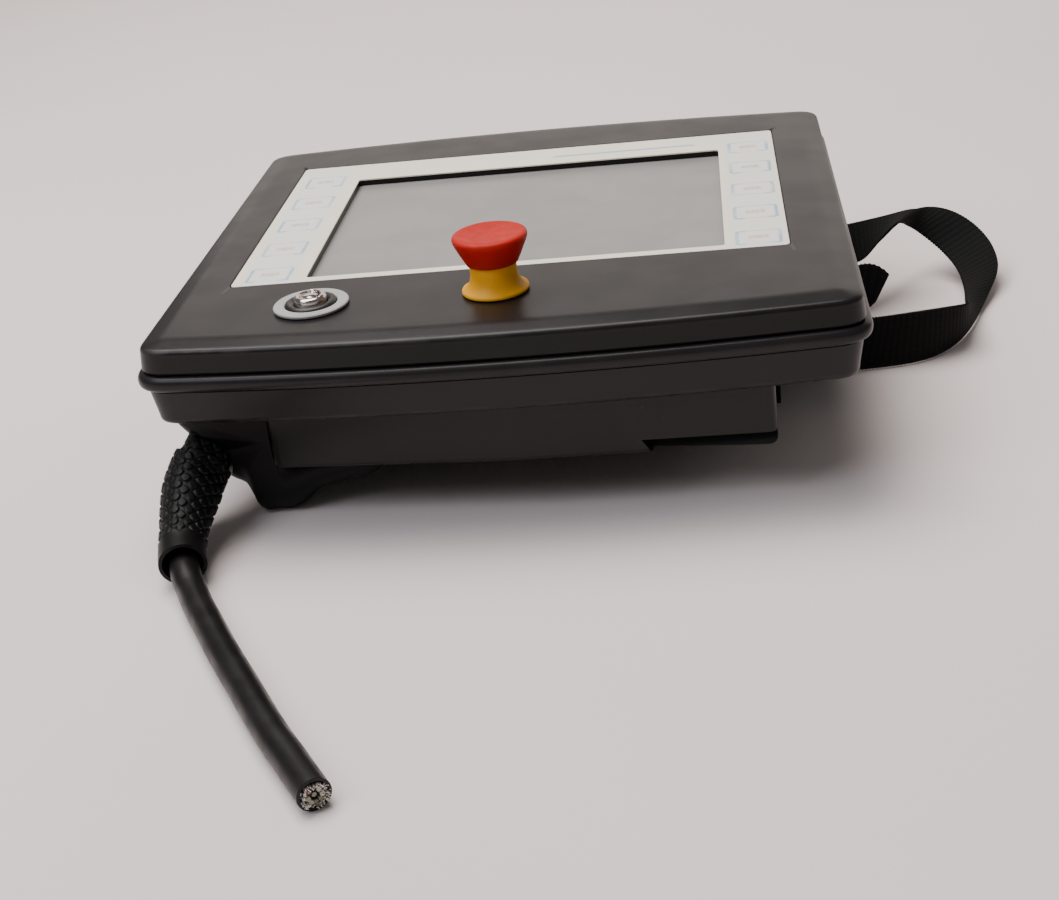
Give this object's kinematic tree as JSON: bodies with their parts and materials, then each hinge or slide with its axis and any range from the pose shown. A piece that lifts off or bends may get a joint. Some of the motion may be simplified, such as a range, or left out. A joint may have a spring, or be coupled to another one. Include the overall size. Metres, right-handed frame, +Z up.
{
  "type": "pendant control station",
  "caption": "Hand-held pendant with a touch screen, membrane keys, emergency stop, key switch, grip with enabling button, bare-ended cable and a webbing hand strap.",
  "frame": {"origin": "on the flat underside of the deep part of the electronics cover, below the middle of the housing", "axes": "+X right, +Y away from the operator, +Z up out of the screen"},
  "size_m": [0.361, 0.4449, 0.11],
  "materials": {
    "housing": "fine-textured moulded ABS, charcoal",
    "seal_rubber": "satin moulded rubber",
    "grip_rubber": "matt black moulded rubber",
    "overlay_film": "hard-coated polyester film",
    "key_film": "printed polyester film",
    "clear_film": "polyester film",
    "touch_pane": "anti-glare resistive touch film, switched off",
    "signal_red": "moulded red plastic",
    "signal_yellow": "moulded yellow plastic",
    "black_plastic": "moulded black polyamide",
    "button_plastic": "soft-touch black button",
    "lock_chrome": "polished chrome",
    "grey_ring": "light grey anodised ring",
    "zinc_steel": "zinc-plated steel",
    "display_case": "pressed sheet case and bracket",
    "circuit_board": "green solder mask",
    "terminal_green": "moulded terminal housing",
    "cable_jacket": "satin black polyurethane jacket",
    "screen_braid": "tinned copper screen, cut",
    "webbing": "black woven polyamide webbing"
  },
  "bodies": {
    "housing": {"front_shell": "housing", "rear_shell": "housing", "electronics_cover": "housing", "parting_seal": "seal_rubber", "grip": "grip_rubber", "bend_sleeve": "grip_rubber", "membrane_overlay": "overlay_film", "dome_sheet_left": "clear_film", "dome_sheet_right": "clear_film", "touch_glass": "touch_pane", "stop_collar": "signal_yellow", "stop_contacts": "black_plastic", "stop_nut": "zinc_steel", "key_ring": "grey_ring", "key_bezel": "black_plastic", "key_barrel": "lock_chrome", "key_nut": "zinc_steel", "key_contacts": "black_plastic", "display_module": "display_case", "display_bracket": "display_case", "main_board": "circuit_board", "terminal_block": "terminal_green", "enable_switch": "black_plastic", "gland_body": "black_plastic", "gland_nut": "black_plastic", "cable": "cable_jacket", "cable_cores": "screen_braid", "hand_strap": "webbing", "strap_tail": "webbing", "strap_plate_front": "zinc_steel", "strap_plate_rear": "zinc_steel", "shell_screw_1": "zinc_steel", "cover_screw_1": "zinc_steel", "shell_screw_2": "zinc_steel", "cover_screw_2": "zinc_steel", "shell_screw_3": "zinc_steel", "cover_screw_3": "zinc_steel", "shell_screw_4": "zinc_steel", "cover_screw_4": "zinc_steel", "stop_spring": "zinc_steel"},
    "stop_plunger": {"stop_stem": "black_plastic"},
    "stop_head": {"stop_cap": "signal_red"},
    "lock_rotor": {"key_rotor": "lock_chrome"},
    "enable_pad": {"enable_button": "button_plastic"},
    "key_left_1_pad": {"key_left_1": "key_film"},
    "key_left_2_pad": {"key_left_2": "key_film"},
    "key_left_3_pad": {"key_left_3": "key_film"},
    "key_left_4_pad": {"key_left_4": "key_film"},
    "key_left_5_pad": {"key_left_5": "key_film"},
    "key_right_1_pad": {"key_right_1": "key_film"},
    "key_right_2_pad": {"key_right_2": "key_film"},
    "key_right_3_pad": {"key_right_3": "key_film"},
    "key_right_4_pad": {"key_right_4": "key_film"},
    "key_right_5_pad": {"key_right_5": "key_film"}
  },
  "joints": [
    {"name": "stop_push", "type": "slide", "parent": "housing", "child": "stop_plunger", "axis": [0, 0, -1], "range_m": [0, 0.004], "stiffness_N_per_m": 800, "deforming": ["stop_spring"]},
    {"name": "stop_twist", "type": "hinge", "parent": "stop_plunger", "child": "stop_head", "pos_m": [-0.0008, -0.094, 0.1], "axis": [0, 0, -1], "range_deg": [0, 35], "stiffness_Nm_per_rad": 0.15},
    {"name": "key_turn", "type": "hinge", "parent": "housing", "child": "lock_rotor", "pos_m": [-0.074, -0.096, 0.085], "axis": [0, 0, -1], "range_deg": [0, 90]},
    {"name": "enable_press", "type": "slide", "parent": "housing", "child": "enable_pad", "axis": [-1, 0, 0], "range_m": [0, 0.003], "stiffness_N_per_m": 900},
    {"name": "key_left_1_press", "type": "slide", "parent": "housing", "child": "key_left_1_pad", "axis": [0, 0, -1], "range_m": [0, 0.00035], "stiffness_N_per_m": 3000},
    {"name": "key_left_2_press", "type": "slide", "parent": "housing", "child": "key_left_2_pad", "axis": [0, 0, -1], "range_m": [0, 0.00035], "stiffness_N_per_m": 3000},
    {"name": "key_left_3_press", "type": "slide", "parent": "housing", "child": "key_left_3_pad", "axis": [0, 0, -1], "range_m": [0, 0.00035], "stiffness_N_per_m": 3000},
    {"name": "key_left_4_press", "type": "slide", "parent": "housing", "child": "key_left_4_pad", "axis": [0, 0, -1], "range_m": [0, 0.00035], "stiffness_N_per_m": 3000},
    {"name": "key_left_5_press", "type": "slide", "parent": "housing", "child": "key_left_5_pad", "axis": [0, 0, -1], "range_m": [0, 0.00035], "stiffness_N_per_m": 3000},
    {"name": "key_right_1_press", "type": "slide", "parent": "housing", "child": "key_right_1_pad", "axis": [0, 0, -1], "range_m": [0, 0.00035], "stiffness_N_per_m": 3000},
    {"name": "key_right_2_press", "type": "slide", "parent": "housing", "child": "key_right_2_pad", "axis": [0, 0, -1], "range_m": [0, 0.00035], "stiffness_N_per_m": 3000},
    {"name": "key_right_3_press", "type": "slide", "parent": "housing", "child": "key_right_3_pad", "axis": [0, 0, -1], "range_m": [0, 0.00035], "stiffness_N_per_m": 3000},
    {"name": "key_right_4_press", "type": "slide", "parent": "housing", "child": "key_right_4_pad", "axis": [0, 0, -1], "range_m": [0, 0.00035], "stiffness_N_per_m": 3000},
    {"name": "key_right_5_press", "type": "slide", "parent": "housing", "child": "key_right_5_pad", "axis": [0, 0, -1], "range_m": [0, 0.00035], "stiffness_N_per_m": 3000}
  ]
}
